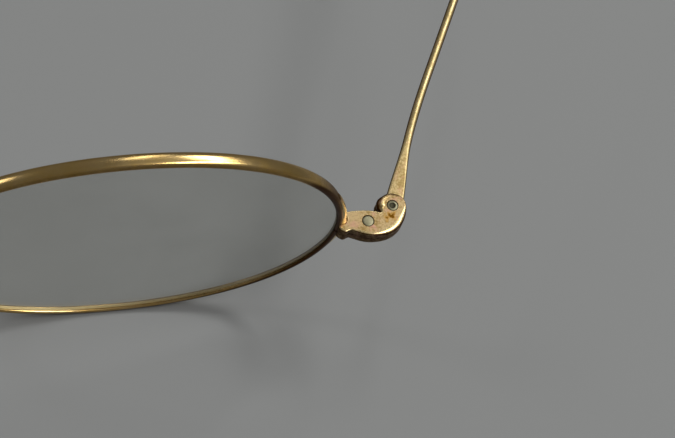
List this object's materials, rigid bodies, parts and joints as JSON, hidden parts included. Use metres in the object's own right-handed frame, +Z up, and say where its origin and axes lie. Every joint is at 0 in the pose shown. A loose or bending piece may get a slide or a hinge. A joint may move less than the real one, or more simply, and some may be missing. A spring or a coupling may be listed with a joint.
{
  "type": "oval wire eyeglasses",
  "caption": "Oval wire spectacles with grooved gold eyewires, a saddle bridge, split end pieces drawn shut by screws, and hinged riding-bow temples that fold behind the lenses.",
  "frame": {"origin": "middle of the box that the open spectacles fill, on the surface that the eyewires and the ball tips stand on", "axes": "+X towards the wearer's left, +Y backwards from the lenses to the ears, +Z up"},
  "size_m": [0.1504, 0.1194, 0.0316],
  "materials": {
    "frame_gold": "worn gold-filled wire with brown tarnish in the corners",
    "temple_gold": "worn gold-filled wire, bright along its top",
    "screw_steel": "dull grey steel, filed flush",
    "lens_glass": "clear polished glass, faintly grey and dusty"
  },
  "bodies": {
    "front": {"bridge": "frame_gold", "left_eyewire": "frame_gold", "left_lens": "lens_glass", "left_endpiece_upper": "frame_gold", "left_endpiece_lower": "frame_gold", "left_closing_screw": "screw_steel", "left_pivot_screw": "screw_steel", "right_eyewire": "frame_gold", "right_lens": "lens_glass", "right_endpiece_upper": "frame_gold", "right_endpiece_lower": "frame_gold", "right_closing_screw": "screw_steel", "right_pivot_screw": "screw_steel"},
    "left_side": {"left_temple": "temple_gold", "left_temple_tip": "temple_gold"},
    "right_side": {"right_temple": "temple_gold", "right_temple_tip": "temple_gold"}
  },
  "joints": [
    {"name": "left_temple_fold", "type": "hinge", "parent": "front", "child": "left_side", "pos_m": [0.05522, -0.05461, 0.0141], "axis": [0, -0.2227, 0.9749], "range_deg": [0, 98]},
    {"name": "right_temple_fold", "type": "hinge", "parent": "front", "child": "right_side", "pos_m": [-0.05522, -0.05461, 0.0141], "axis": [0, 0.2227, -0.9749], "range_deg": [0, 94]}
  ]
}
